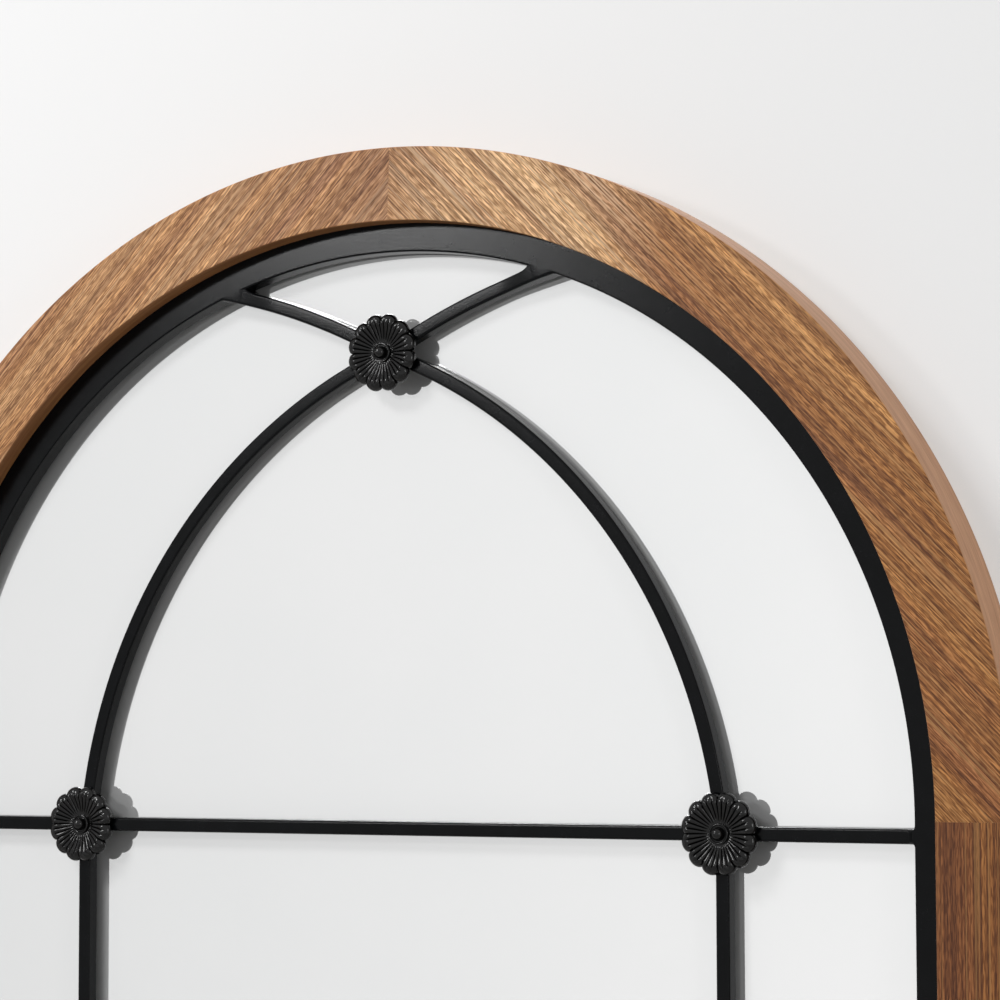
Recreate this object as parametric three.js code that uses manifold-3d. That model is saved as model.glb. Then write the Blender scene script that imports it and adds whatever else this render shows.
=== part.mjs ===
// An arched wall mirror dressed as a window: a wooden frame in five pieces, a black metal grille
// with a cast rosette at each crossing, the mirror pane, its backing board and the hangers.
// Sizes are millimetres. X runs right, Y towards the wall and Z up. The origin is the middle of the
// bottom rail's back face, on the wall side.

import * as THREE from "three";
import { mergeVertices } from "three/addons/utils/BufferGeometryUtils.js";
import Module from "manifold-3d";

const wasm = await Module();
wasm.setup();

// ---------------------------------------------------------------- driving dimensions

const CLEARANCE = 0.3; // left between pieces that touch

// Wooden frame, its outside and its stepped section.
const ARCH_RADIUS = 304.8; // outside of the arch, half of the width
const LEG_LENGTH = 609.6; // from the spring line of the arch down to the bottom edge
const FACE_WIDTH = 34; // wood seen from the front
const LIP_DEPTH = 10; // wood in front of the metal band
const PANE_STEP = 8; // how far the lip covers the band and the glass
const BOARD_STEP = 8; // shelf that the backing board is screwed to
const ARCH_FACETS = 60; // flats round the half circle

// What lies behind the lip, from the front to the back.
const BAND_THICKNESS = 8.6;
const GLASS_THICKNESS = 3;
const BOARD_THICKNESS = 2.5;
const BOARD_RECESS = 0.4; // board below the back of the wood

// Metal grille.
const BAND_SEEN = 13; // width of the band inside the wood
const BAR_WIDTH = 6.4;
const BAR_SETBACK = 2.2; // bars behind the front of the band
const SIDE_PANE_WIDTH = 89; // inner edge of the band to the middle of a vertical bar
const UPPER_BAR_DROP = 6.6; // spring line down to the middle of the upper cross bar
const CROSSING_DROP = 46.3; // top of the opening down to where the two arcs cross
const LOWER_ARC_RADIUS = 259; // from the upper cross bar to the crossing
const UPPER_ARC_RADIUS = 343; // from the crossing to the band
const ARC_END_SIDE = 90.5; // where an arc reaches the band, measured from the middle
const ARC_FACETS = 16; // flats of each stretch of an arc

// Rosettes and the studs that hold them on.
const ROSETTE_RADIUS = 18.2;
const ROSETTE_PETALS = 12;
const PETAL_NOTCH = 2.1; // how deep the scallops cut into the rim
const ROSETTE_RIM_HEIGHT = 4.4; // back of the casting to the rim, between two petals
const ROSETTE_DISH_HEIGHT = 2.2; // the same where the dish is lowest
const ROSETTE_EDGE_HEIGHT = 1.6; // the same where the outer edge turns back
const PETAL_SWELL = 0.8; // how far a petal's middle stands above its sides
const FACETS_PER_PETAL = 4; // flats round one petal
const KNOB_RADIUS = 3.5;
const KNOB_HEIGHT = 3.4;
const STUD_RADIUS = 1.6;
const STUD_REACH = 5; // how far the stud goes into the bars
const COLLAR_RADIUS = 4.7;
const COLLAR_HEIGHT = 0.8;

// Dowels, screws and hangers.
const DOWEL_RADIUS = 3;
const DOWEL_LENGTH = 20;
const SCREW_RADIUS = 1.5;
const SCREW_HEAD_RADIUS = 3.1;
const SCREW_HEAD_HEIGHT = 1.8;
const BOARD_SCREW_BITE = 12; // thread in the wood
const STRAP_SCREW_BITE = 14;
const STRAP_WIDTH = 9;
const STRAP_LENGTH = 34; // hinge to the lower end
const STRAP_THICKNESS = 1.2;
const STRAP_DROP = 60; // spring line down to the hinge
const STRAP_SCREW_DROPS = [18.5, 28.5]; // hinge to each screw, below the hanging ring
const WIRE_RADIUS = 1.25;
const HINGE_CLEARANCE = 0.2;
const RING_HALF_WIDTH = 7.2; // middle of the wire
const RING_CORNER = 2;
const RING_BOW = 11; // depth of the bow below its corners
const BUMPER_RADIUS = 6.5;
const BUMPER_HEIGHT = 6.5;
const BUMPER_RISE = 45; // bottom edge up to the bumper's middle

// ---------------------------------------------------------------- places worked out from them

const BOARD_BACK = -BOARD_RECESS;
const BOARD_FRONT = BOARD_BACK - BOARD_THICKNESS;
const SHELF = BOARD_FRONT - CLEARANCE; // wood shelf under the board, and the back of the glass
const GLASS_FRONT = SHELF - GLASS_THICKNESS;
const BAND_BACK = GLASS_FRONT - CLEARANCE;
const BAND_FRONT = BAND_BACK - BAND_THICKNESS;
const LIP_BACK = BAND_FRONT - CLEARANCE;
const FACE = LIP_BACK - LIP_DEPTH; // front of the wood
const BAR_FRONT = BAND_FRONT + BAR_SETBACK;
const BAR_MIDDLE = (BAR_FRONT + BAND_BACK) / 2; // depth at which crossing bars are halved

const PANE_INSET = FACE_WIDTH - PANE_STEP; // outside of the wood to the step that holds the glass
const BOARD_INSET = PANE_INSET - BOARD_STEP;
const OPENING_INSET = FACE_WIDTH + BAND_SEEN; // outside of the wood to the inner edge of the band

const BOTTOM = -BOARD_INSET / 2; // the origin lies in the middle of the back face
const SPRING = BOTTOM + LEG_LENGTH;
const OPENING_RADIUS = ARCH_RADIUS - OPENING_INSET;
const OPENING_BOTTOM = BOTTOM + OPENING_INSET;

const SIDE_BAR_X = OPENING_RADIUS - SIDE_PANE_WIDTH;
const UPPER_BAR_Z = SPRING - UPPER_BAR_DROP;
const LOWER_BAR_Z = (UPPER_BAR_Z + OPENING_BOTTOM) / 2;
const CROSSING_Z = SPRING + OPENING_RADIUS - CROSSING_DROP;
const ARC_END_Z = SPRING + Math.sqrt(OPENING_RADIUS ** 2 - ARC_END_SIDE ** 2);

const HANGER_X = ARCH_RADIUS - BOARD_INSET / 2; // middle of the leg's back face
const HINGE_Z = SPRING - STRAP_DROP;
const LOOP_RADIUS = WIRE_RADIUS + HINGE_CLEARANCE + STRAP_THICKNESS;
const HINGE_Y = CLEARANCE + LOOP_RADIUS;

const PAST = 5; // how far a cutter runs past what it cuts
const REACH = ARCH_RADIUS + PAST; // from the middle of the arch to outside of the frame
const HALF_GAP = CLEARANCE / 2;

// ---------------------------------------------------------------- materials

const finish = (color, roughness, metalness) =>
  new THREE.MeshStandardMaterial({ color, roughness, metalness });
const walnut = finish("#7b5539", 0.55, 0);
const blackMetal = finish("#17181a", 0.4, 0.6);
const castBlack = finish("#101012", 0.25, 0.6);
const mirror = finish("#e4e6e6", 0.05, 1);
const hardboard = finish("#8c6b47", 0.8, 0);
const beech = finish("#c9a472", 0.7, 0);
const zinc = finish("#b4b7b8", 0.35, 0.9);
const rubber = finish("#2b2b2c", 0.9, 0);

// ---------------------------------------------------------------- solids

function toSolid(geometry) {
  const bare = new THREE.BufferGeometry();
  bare.setAttribute("position", geometry.getAttribute("position"));
  bare.setIndex(geometry.index);
  const merged = mergeVertices(bare, 1e-4);
  const vertProperties = new Float32Array(merged.getAttribute("position").array);
  const triVerts = new Uint32Array(merged.index.array);
  return new wasm.Manifold(new wasm.Mesh({ numProp: 3, vertProperties, triVerts }));
}

function toGeometry(solid) {
  const mesh = solid.getMesh();
  const geometry = new THREE.BufferGeometry();
  geometry.setAttribute("position", new THREE.BufferAttribute(mesh.vertProperties, 3));
  geometry.setIndex(new THREE.BufferAttribute(mesh.triVerts, 1));
  geometry.computeVertexNormals();
  return geometry;
}

// A shape drawn in X and Z, as thick as the depth from front to back.
function plate(shape, front, back) {
  const geometry = new THREE.ExtrudeGeometry(shape, {
    depth: back - front,
    bevelEnabled: false,
    curveSegments: ARCH_FACETS,
  });
  geometry.rotateX(Math.PI / 2);
  geometry.translate(0, back, 0);
  return toSolid(geometry);
}

function block(x0, x1, front, back, z0, z1) {
  const geometry = new THREE.BoxGeometry(x1 - x0, back - front, z1 - z0);
  geometry.translate((x0 + x1) / 2, (front + back) / 2, (z0 + z1) / 2);
  return toSolid(geometry);
}

// A round rod between two points.
function rod(from, to, radius, sides) {
  const along = new THREE.Vector3().subVectors(to, from);
  const geometry = new THREE.CylinderGeometry(radius, radius, along.length(), sides);
  const up = new THREE.Vector3(0, 1, 0);
  const turn = new THREE.Quaternion().setFromUnitVectors(up, along.clone().normalize());
  geometry.applyQuaternion(turn);
  const middle = new THREE.Vector3().addVectors(from, to).multiplyScalar(0.5);
  geometry.translate(middle.x, middle.y, middle.z);
  return toSolid(geometry);
}

// A profile of [radius, y] turned round a line along Y through x, z.
function turned(profile, sides, x, z) {
  const points = profile.map(([radius, y]) => new THREE.Vector2(radius, y));
  const geometry = new THREE.LatheGeometry(points, sides);
  geometry.translate(x, 0, z);
  return toSolid(geometry);
}

// A block between two distances from the middle, on the right (side 1) or the left (side -1).
function sideBlock(side, x0, x1, front, back, z0, z1) {
  return side > 0 ? block(x0, x1, front, back, z0, z1) : block(-x1, -x0, front, back, z0, z1);
}

// ---------------------------------------------------------------- outlines of the window

// The window's outline, drawn in from the outside of the wood by inset.
function windowShape(inset) {
  const radius = ARCH_RADIUS - inset;
  const shape = new THREE.Shape();
  shape.moveTo(-radius, BOTTOM + inset);
  shape.lineTo(radius, BOTTOM + inset);
  shape.lineTo(radius, SPRING);
  shape.absarc(0, SPRING, radius, 0, Math.PI, false);
  shape.closePath();
  return shape;
}

const windowPlate = (inset, front, back) => plate(windowShape(inset), front, back);

function polygonPlate(corners, front, back) {
  const shape = new THREE.Shape(corners.map(([x, z]) => new THREE.Vector2(x, z)));
  return plate(shape, front, back);
}

// ---------------------------------------------------------------- wooden frame

function frameBlank() {
  return windowPlate(0, FACE, 0)
    .subtract(windowPlate(FACE_WIDTH, FACE - PAST, PAST))
    .subtract(windowPlate(PANE_INSET, LIP_BACK, PAST))
    .subtract(windowPlate(BOARD_INSET, SHELF, PAST));
}

const MITRE = HALF_GAP * Math.SQRT2; // half of the gap of a joint at 45 degrees, measured along X

// The areas of the frame that a half of the arch, a leg and the bottom rail keep.
const archArea = (side) =>
  sideBlock(side, HALF_GAP, REACH, FACE - PAST, PAST, SPRING + HALF_GAP, SPRING + REACH);

function legArea(side) {
  const corners = [
    [MITRE, BOTTOM + ARCH_RADIUS],
    [ARCH_RADIUS + MITRE + PAST, BOTTOM - PAST],
    [ARCH_RADIUS + MITRE + PAST, SPRING - HALF_GAP],
    [MITRE, SPRING - HALF_GAP],
  ];
  return polygonPlate(
    corners.map(([x, z]) => [side * x, z]),
    FACE - PAST,
    PAST,
  );
}

function railArea() {
  const corners = [
    [MITRE - ARCH_RADIUS - PAST, BOTTOM - PAST],
    [ARCH_RADIUS + PAST - MITRE, BOTTOM - PAST],
    [0, BOTTOM + ARCH_RADIUS - MITRE],
  ];
  return polygonPlate(corners, FACE - PAST, PAST);
}

// Each dowel crosses one joint in the thick outer part of the wood.
const DOWEL_INSET = PANE_INSET / 2;
const DOWEL_Y = FACE / 2;
const dowelPlace = (x, z, dx, dz) => ({ x, z, dx, dz });
const outside = ARCH_RADIUS - DOWEL_INSET;
const DOWELS = {
  dowel_apex: dowelPlace(0, SPRING + outside, 1, 0),
  dowel_spring_left: dowelPlace(-outside, SPRING, 0, 1),
  dowel_spring_right: dowelPlace(outside, SPRING, 0, 1),
  dowel_corner_left: dowelPlace(-outside, BOTTOM + DOWEL_INSET, -Math.SQRT1_2, Math.SQRT1_2),
  dowel_corner_right: dowelPlace(outside, BOTTOM + DOWEL_INSET, Math.SQRT1_2, Math.SQRT1_2),
};

function dowel({ x, z, dx, dz }, radius, length) {
  const from = new THREE.Vector3(x - (dx * length) / 2, DOWEL_Y, z - (dz * length) / 2);
  const to = new THREE.Vector3(x + (dx * length) / 2, DOWEL_Y, z + (dz * length) / 2);
  return rod(from, to, radius, 12);
}

// ---------------------------------------------------------------- screws

const BOARD_SCREW_INSET = BOARD_INSET + BOARD_STEP / 2;
const ARCH_SCREW_ANGLES = [22.5, 67.5, 112.5, 157.5];
const LEG_SCREW_SHARES = [0.12, 0.5, 0.88]; // of the way from the spring line to the bottom
const RAIL_SCREW_SHARES = [-0.5, 0.5]; // of the half width

function boardScrewPlaces() {
  const radius = ARCH_RADIUS - BOARD_SCREW_INSET;
  const places = ARCH_SCREW_ANGLES.map((degrees) => {
    const angle = THREE.MathUtils.degToRad(degrees);
    return [radius * Math.cos(angle), SPRING + radius * Math.sin(angle)];
  });
  for (const side of [-1, 1])
    for (const share of LEG_SCREW_SHARES) places.push([side * radius, SPRING - share * LEG_LENGTH]);
  for (const share of RAIL_SCREW_SHARES) places.push([share * radius, BOTTOM + BOARD_SCREW_INSET]);
  return places;
}

// A pan head screw driven towards -Y, with its head seated at y = seat.
function screw(x, z, seat, length) {
  const tip = seat - length;
  const profile = [
    [0, tip],
    [SCREW_RADIUS, tip + 2 * SCREW_RADIUS],
    [SCREW_RADIUS, seat],
    [SCREW_HEAD_RADIUS, seat],
    [0.8 * SCREW_HEAD_RADIUS, seat + SCREW_HEAD_HEIGHT],
    [0, seat + SCREW_HEAD_HEIGHT],
  ];
  return turned(profile, 12, x, z);
}

// The hole that a screw of that length leaves, from y = top downwards.
function screwHole(x, z, seat, length) {
  const from = new THREE.Vector3(x, seat - length - CLEARANCE, z);
  const to = new THREE.Vector3(x, PAST, z);
  return rod(from, to, SCREW_RADIUS + CLEARANCE, 12);
}

const BOARD_SCREW_SEAT = BOARD_BACK + CLEARANCE;
const BOARD_SCREW_LENGTH = BOARD_SCREW_SEAT - SHELF + BOARD_SCREW_BITE;
const STRAP_SCREW_SEAT = CLEARANCE + STRAP_THICKNESS + CLEARANCE;
const STRAP_SCREW_LENGTH = STRAP_SCREW_SEAT + STRAP_SCREW_BITE;

// ---------------------------------------------------------------- grille

// The centre of the circle of that radius through two points, on the side below their chord.
function circleCentre(from, to, radius) {
  const chord = new THREE.Vector2().subVectors(to, from);
  const middle = new THREE.Vector2().addVectors(from, to).multiplyScalar(0.5);
  const rise = Math.sqrt(radius ** 2 - chord.lengthSq() / 4);
  const across = new THREE.Vector2(chord.y, -chord.x).normalize();
  return middle.addScaledVector(across, rise);
}

// Points from one end of an arc to the other, drawn out sideways from its line by offset.
function arcPoints(from, to, radius, offset) {
  const centre = circleCentre(from, to, radius);
  const start = Math.atan2(from.y - centre.y, from.x - centre.x);
  const sweep = 2 * Math.asin(from.distanceTo(to) / (2 * radius));
  const points = [];
  for (let i = 0; i <= ARC_FACETS; i++) {
    const angle = start - (sweep * i) / ARC_FACETS;
    const out = radius + offset;
    points.push(new THREE.Vector2(centre.x + out * Math.cos(angle), centre.y + out * Math.sin(angle)));
  }
  return points;
}

// The corner at that offset where two arcs with these centres meet in a point, at a slight angle.
function arcCorner(point, centres, offset) {
  const [first, second] = centres.map((centre) =>
    new THREE.Vector2().subVectors(point, centre).normalize(),
  );
  const reach = offset / (1 + first.dot(second));
  return first.clone().add(second).multiplyScalar(reach).add(point);
}

const insideOpening = () => windowPlate(OPENING_INSET + CLEARANCE, FACE, PAST);

// The bar that springs from the cross bar on one side, passes the crossing and ends on the band.
function arcBar(side, width) {
  const spring = new THREE.Vector2(-SIDE_BAR_X, UPPER_BAR_Z);
  const crossing = new THREE.Vector2(0, CROSSING_Z);
  const end = new THREE.Vector2(ARC_END_SIDE, ARC_END_Z);
  const beyond = new THREE.Vector2().lerpVectors(crossing, end, 1.25);
  const centres = [
    circleCentre(spring, crossing, LOWER_ARC_RADIUS),
    circleCentre(crossing, beyond, UPPER_ARC_RADIUS),
  ];
  const edge = (offset) => [
    ...arcPoints(spring, crossing, LOWER_ARC_RADIUS, offset).slice(0, -1),
    arcCorner(crossing, centres, offset),
    ...arcPoints(crossing, beyond, UPPER_ARC_RADIUS, offset).slice(1),
  ];
  const outline = [...edge(width / 2), ...edge(-width / 2).reverse()];
  const corners = outline.map((point) => [-side * point.x, point.y]);
  const foot = UPPER_BAR_Z + BAR_WIDTH / 2 + CLEARANCE;
  const room = block(-REACH, REACH, FACE, PAST, foot, SPRING + REACH);
  return polygonPlate(corners, BAR_FRONT, BAND_BACK).intersect(insideOpening()).intersect(room);
}

function crossBar(z, width) {
  const bar = block(-REACH, REACH, BAR_FRONT, BAND_BACK, z - width / 2, z + width / 2);
  return bar.intersect(insideOpening());
}

function verticalBar(x, width) {
  const top = UPPER_BAR_Z - BAR_WIDTH / 2 - CLEARANCE;
  const bar = block(x - width / 2, x + width / 2, BAR_FRONT, BAND_BACK, BOTTOM, top);
  return bar.intersect(insideOpening());
}

// Crossing bars are halved: one keeps its front half where the other passes, one its back half.
const NOTCH_WIDTH = BAR_WIDTH + 2 * CLEARANCE;
const frontHalf = () => block(-REACH, REACH, FACE, BAR_MIDDLE + HALF_GAP, BOTTOM, SPRING + REACH);
const backHalf = () => block(-REACH, REACH, BAR_MIDDLE - HALF_GAP, PAST, BOTTOM, SPRING + REACH);

// ---------------------------------------------------------------- rosettes

const ROSETTE_PLACES = {
  top: [0, CROSSING_Z],
  upper_left: [-SIDE_BAR_X, UPPER_BAR_Z],
  upper_right: [SIDE_BAR_X, UPPER_BAR_Z],
  lower_left: [-SIDE_BAR_X, LOWER_BAR_Z],
  lower_right: [SIDE_BAR_X, LOWER_BAR_Z],
};

const ROSETTE_BACK = BAR_FRONT - CLEARANCE;
const STUD_HOLE = STUD_RADIUS + CLEARANCE;

const studHole = (x, z) =>
  rod(
    new THREE.Vector3(x, FACE, z),
    new THREE.Vector3(x, BAR_FRONT + STUD_REACH + CLEARANCE, z),
    STUD_HOLE,
    12,
  );

// One casting: rings of points from the hole out to the scalloped rim, round the edge and back.
function rosette(x, z) {
  const around = ROSETTE_PETALS * FACETS_PER_PETAL;
  const swell = (angle) => Math.abs(Math.sin((ROSETTE_PETALS * angle) / 2));
  const scallop = (angle) => 1 - Math.sqrt(swell(angle));
  const dish = ROSETTE_DISH_HEIGHT;
  const rim = ROSETTE_RIM_HEIGHT;
  // Each ring: radius, height, share of the scallop and share of the petal's swell.
  const rings = [
    [STUD_HOLE, 0, 0, 0],
    [STUD_HOLE, dish, 0, 0],
    [COLLAR_RADIUS, dish + COLLAR_HEIGHT, 0, 0],
    [0.36 * ROSETTE_RADIUS, dish, 0, 0.25],
    [0.6 * ROSETTE_RADIUS, (dish + rim) / 2, 0.2, 0.75],
    [0.8 * ROSETTE_RADIUS, rim, 0.6, 1],
    [0.95 * ROSETTE_RADIUS, 0.9 * rim, 1, 1],
    [ROSETTE_RADIUS, ROSETTE_EDGE_HEIGHT, 1, 0],
    [0.93 * ROSETTE_RADIUS, 0, 1, 0],
  ];
  const vertices = [];
  for (const [ringRadius, height, notchShare, swellShare] of rings)
    for (let i = 0; i < around; i++) {
      const angle = (i / around) * 2 * Math.PI;
      const radius = ringRadius - PETAL_NOTCH * notchShare * scallop(angle);
      const lift = height + PETAL_SWELL * swellShare * swell(angle);
      vertices.push(x + radius * Math.cos(angle), ROSETTE_BACK - lift, z + radius * Math.sin(angle));
    }
  const indices = [];
  for (let ring = 0; ring < rings.length; ring++)
    for (let i = 0; i < around; i++) {
      const next = (i + 1) % around;
      const a = ring * around;
      const b = ((ring + 1) % rings.length) * around;
      indices.push(a + i, b + i, b + next, a + i, b + next, a + next);
    }
  const geometry = new THREE.BufferGeometry();
  geometry.setAttribute("position", new THREE.Float32BufferAttribute(vertices, 3));
  geometry.setIndex(indices);
  return toSolid(geometry);
}

// A round knob in front of the rosette, on a stud that goes through it into the bars.
function rosetteStud(x, z) {
  const seat = ROSETTE_BACK - ROSETTE_DISH_HEIGHT - COLLAR_HEIGHT - CLEARANCE;
  const profile = [[0, seat - KNOB_HEIGHT]];
  const steps = 5;
  for (let i = 1; i <= steps; i++) {
    const angle = (i / steps) * (Math.PI / 2);
    profile.push([KNOB_RADIUS * Math.sin(angle), seat - KNOB_HEIGHT * Math.cos(angle)]);
  }
  profile.push([STUD_RADIUS, seat], [STUD_RADIUS, BAR_FRONT + STUD_REACH]);
  profile.push([0, BAR_FRONT + STUD_REACH]);
  return turned(profile, 16, x, z);
}

// ---------------------------------------------------------------- hangers and bumpers

// The steel strap of a hanger: a plate whose upper end is rolled round the ring's straight side.
function strap(x) {
  const inner = WIRE_RADIUS + HINGE_CLEARANCE;
  const left = x - STRAP_WIDTH / 2;
  const right = x + STRAP_WIDTH / 2;
  const axle = (radius, past) =>
    rod(
      new THREE.Vector3(left - past, HINGE_Y, HINGE_Z),
      new THREE.Vector3(right + past, HINGE_Y, HINGE_Z),
      radius,
      16,
    );
  const back = CLEARANCE + STRAP_THICKNESS;
  let body = block(left, right, CLEARANCE, back, HINGE_Z - STRAP_LENGTH, HINGE_Z);
  body = body.add(axle(LOOP_RADIUS, 0)).subtract(axle(inner, PAST));
  for (const drop of STRAP_SCREW_DROPS)
    body = body.subtract(screwHole(x, HINGE_Z - drop, 0, STRAP_SCREW_BITE));
  return body;
}

// The line of the ring, from its straight side through the bow and back, hanging down from z = 0.
function ringLine() {
  const line = [];
  const straight = RING_HALF_WIDTH - RING_CORNER;
  const cornerSteps = 3;
  const bowSteps = 14;
  for (let i = 0; i <= cornerSteps; i++) {
    const angle = (1 - i / cornerSteps) * (Math.PI / 2);
    line.push([straight + RING_CORNER * Math.cos(angle), RING_CORNER * (Math.sin(angle) - 1)]);
  }
  for (let i = 1; i < bowSteps; i++) {
    const angle = (i / bowSteps) * Math.PI;
    line.push([RING_HALF_WIDTH * Math.cos(angle), -RING_CORNER - RING_BOW * Math.sin(angle)]);
  }
  for (let i = 0; i <= cornerSteps; i++) {
    const angle = (i / cornerSteps) * (Math.PI / 2);
    line.push([-straight - RING_CORNER * Math.cos(angle), RING_CORNER * (Math.sin(angle) - 1)]);
  }
  return line;
}

// The wire of the ring, a round section carried round its closed line.
function ring(x) {
  const line = ringLine();
  const sides = 8;
  const vertices = [];
  line.forEach(([px, pz], i) => {
    const [ax, az] = line[(i + line.length - 1) % line.length];
    const [bx, bz] = line[(i + 1) % line.length];
    const along = new THREE.Vector2(bx - ax, bz - az).normalize();
    for (let k = 0; k < sides; k++) {
      const angle = (k / sides) * 2 * Math.PI;
      const outwards = WIRE_RADIUS * Math.cos(angle);
      vertices.push(
        x + px + outwards * along.y,
        HINGE_Y + WIRE_RADIUS * Math.sin(angle),
        HINGE_Z + pz - outwards * along.x,
      );
    }
  });
  const indices = [];
  for (let i = 0; i < line.length; i++)
    for (let k = 0; k < sides; k++) {
      const a = i * sides;
      const b = ((i + 1) % line.length) * sides;
      const next = (k + 1) % sides;
      indices.push(a + k, b + next, b + k, a + k, a + next, b + next);
    }
  const geometry = new THREE.BufferGeometry();
  geometry.setAttribute("position", new THREE.Float32BufferAttribute(vertices, 3));
  geometry.setIndex(indices);
  return toSolid(geometry);
}

// A soft dome that keeps the lower end of the frame off the wall.
function bumper(x) {
  const profile = [
    [0, CLEARANCE],
    [BUMPER_RADIUS, CLEARANCE],
    [BUMPER_RADIUS, 0.5 * BUMPER_HEIGHT],
    [0.85 * BUMPER_RADIUS, 0.85 * BUMPER_HEIGHT],
    [0.5 * BUMPER_RADIUS, BUMPER_HEIGHT],
    [0, BUMPER_HEIGHT],
  ];
  return turned(profile, 20, x, BOTTOM + BUMPER_RISE);
}

// ---------------------------------------------------------------- assembly

const model = new THREE.Group();

function put(name, solid, material) {
  const mesh = new THREE.Mesh(toGeometry(solid), material);
  mesh.name = name;
  model.add(mesh);
}

// Wood, with the holes for its dowels and screws.
const screws = boardScrewPlaces();
let blank = frameBlank();
for (const [x, z] of screws)
  blank = blank.subtract(screwHole(x, z, BOARD_SCREW_SEAT, BOARD_SCREW_LENGTH));
for (const side of [-1, 1])
  for (const drop of STRAP_SCREW_DROPS) {
    const hole = screwHole(side * HANGER_X, HINGE_Z - drop, STRAP_SCREW_SEAT, STRAP_SCREW_LENGTH);
    blank = blank.subtract(hole);
  }
for (const place of Object.values(DOWELS))
  blank = blank.subtract(dowel(place, DOWEL_RADIUS + CLEARANCE, DOWEL_LENGTH + 2 * CLEARANCE));

put("frame_arch_left", blank.intersect(archArea(-1)), walnut);
put("frame_arch_right", blank.intersect(archArea(1)), walnut);
put("frame_leg_left", blank.intersect(legArea(-1)), walnut);
put("frame_leg_right", blank.intersect(legArea(1)), walnut);
put("frame_bottom_rail", blank.intersect(railArea()), walnut);
for (const [name, place] of Object.entries(DOWELS))
  put(name, dowel(place, DOWEL_RADIUS, DOWEL_LENGTH), beech);

// Band: a hoop that stands on a sill.
const hoop = windowPlate(PANE_INSET + CLEARANCE, BAND_FRONT, BAND_BACK).subtract(
  windowPlate(OPENING_INSET, FACE, PAST),
);
const aboveSill = block(-REACH, REACH, FACE, PAST, OPENING_BOTTOM + HALF_GAP, SPRING + REACH);
const belowSill = block(-REACH, REACH, FACE, PAST, BOTTOM, OPENING_BOTTOM - HALF_GAP);
put("band_arch", hoop.intersect(aboveSill), blackMetal);
put("band_sill", hoop.intersect(belowSill), blackMetal);

// Bars, halved where they cross and drilled for the studs of the rosettes.
function drilled(bar, names) {
  return names.reduce((left, name) => left.subtract(studHole(...ROSETTE_PLACES[name])), bar);
}
const lowerNotch = crossBar(LOWER_BAR_Z, NOTCH_WIDTH).intersect(frontHalf());
let lowerBar = crossBar(LOWER_BAR_Z, BAR_WIDTH);
for (const side of [-1, 1])
  lowerBar = lowerBar.subtract(verticalBar(side * SIDE_BAR_X, NOTCH_WIDTH).intersect(backHalf()));
const uprights = [-1, 1].map((side) => verticalBar(side * SIDE_BAR_X, BAR_WIDTH).subtract(lowerNotch));
const leftArc = arcBar(-1, BAR_WIDTH).subtract(arcBar(1, NOTCH_WIDTH).intersect(backHalf()));
const rightArc = arcBar(1, BAR_WIDTH).subtract(arcBar(-1, NOTCH_WIDTH).intersect(frontHalf()));
const upperBar = crossBar(UPPER_BAR_Z, BAR_WIDTH);

put("cross_bar_upper", drilled(upperBar, ["upper_left", "upper_right"]), blackMetal);
put("cross_bar_lower", drilled(lowerBar, ["lower_left", "lower_right"]), blackMetal);
put("vertical_bar_left", drilled(uprights[0], ["lower_left"]), blackMetal);
put("vertical_bar_right", drilled(uprights[1], ["lower_right"]), blackMetal);
put("arc_bar_left", drilled(leftArc, ["top"]), blackMetal);
put("arc_bar_right", drilled(rightArc, ["top"]), blackMetal);

for (const [name, [x, z]] of Object.entries(ROSETTE_PLACES)) {
  put("rosette_" + name, rosette(x, z), castBlack);
  put("rosette_stud_" + name, rosetteStud(x, z), castBlack);
}

// Glass and its backing board.
put("mirror_glass", windowPlate(PANE_INSET + CLEARANCE, GLASS_FRONT, SHELF), mirror);
let board = windowPlate(BOARD_INSET + CLEARANCE, BOARD_FRONT, BOARD_BACK);
for (const [x, z] of screws)
  board = board.subtract(screwHole(x, z, BOARD_SCREW_SEAT, BOARD_SCREW_LENGTH));
put("backing_board", board, hardboard);
screws.forEach(([x, z], i) => {
  const name = "board_screw_" + String(i + 1).padStart(2, "0");
  put(name, screw(x, z, BOARD_SCREW_SEAT, BOARD_SCREW_LENGTH), zinc);
});

// Hangers and bumpers, one of each on both legs.
for (const [word, side] of [
  ["left", -1],
  ["right", 1],
]) {
  const x = side * HANGER_X;
  put("hanger_strap_" + word, strap(x), zinc);
  put("hanger_ring_" + word, ring(x), zinc);
  STRAP_SCREW_DROPS.forEach((drop, i) => {
    const name = "strap_screw_" + word + "_" + (i + 1);
    put(name, screw(x, HINGE_Z - drop, STRAP_SCREW_SEAT, STRAP_SCREW_LENGTH), zinc);
  });
  put("bumper_" + word, bumper(x), rubber);
}

export default model;
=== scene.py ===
# %% [markdown]
# # An arched wall mirror, dressed as a window
# The real object is a mirror pane behind a black metal grille, in a wooden frame with a round top.
# The working model of it, with every piece at its real size, is loaded first and is never moved.
# Blender gives it what the eye sees: smooth curves, softened edges, fine castings, grain and paint.
#
# Everything is in metres. X runs to the right, Y goes into the wall and Z goes up.

# %% Load the working model
import math

import bmesh
import bpy
from mathutils import Matrix, Vector


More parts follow.
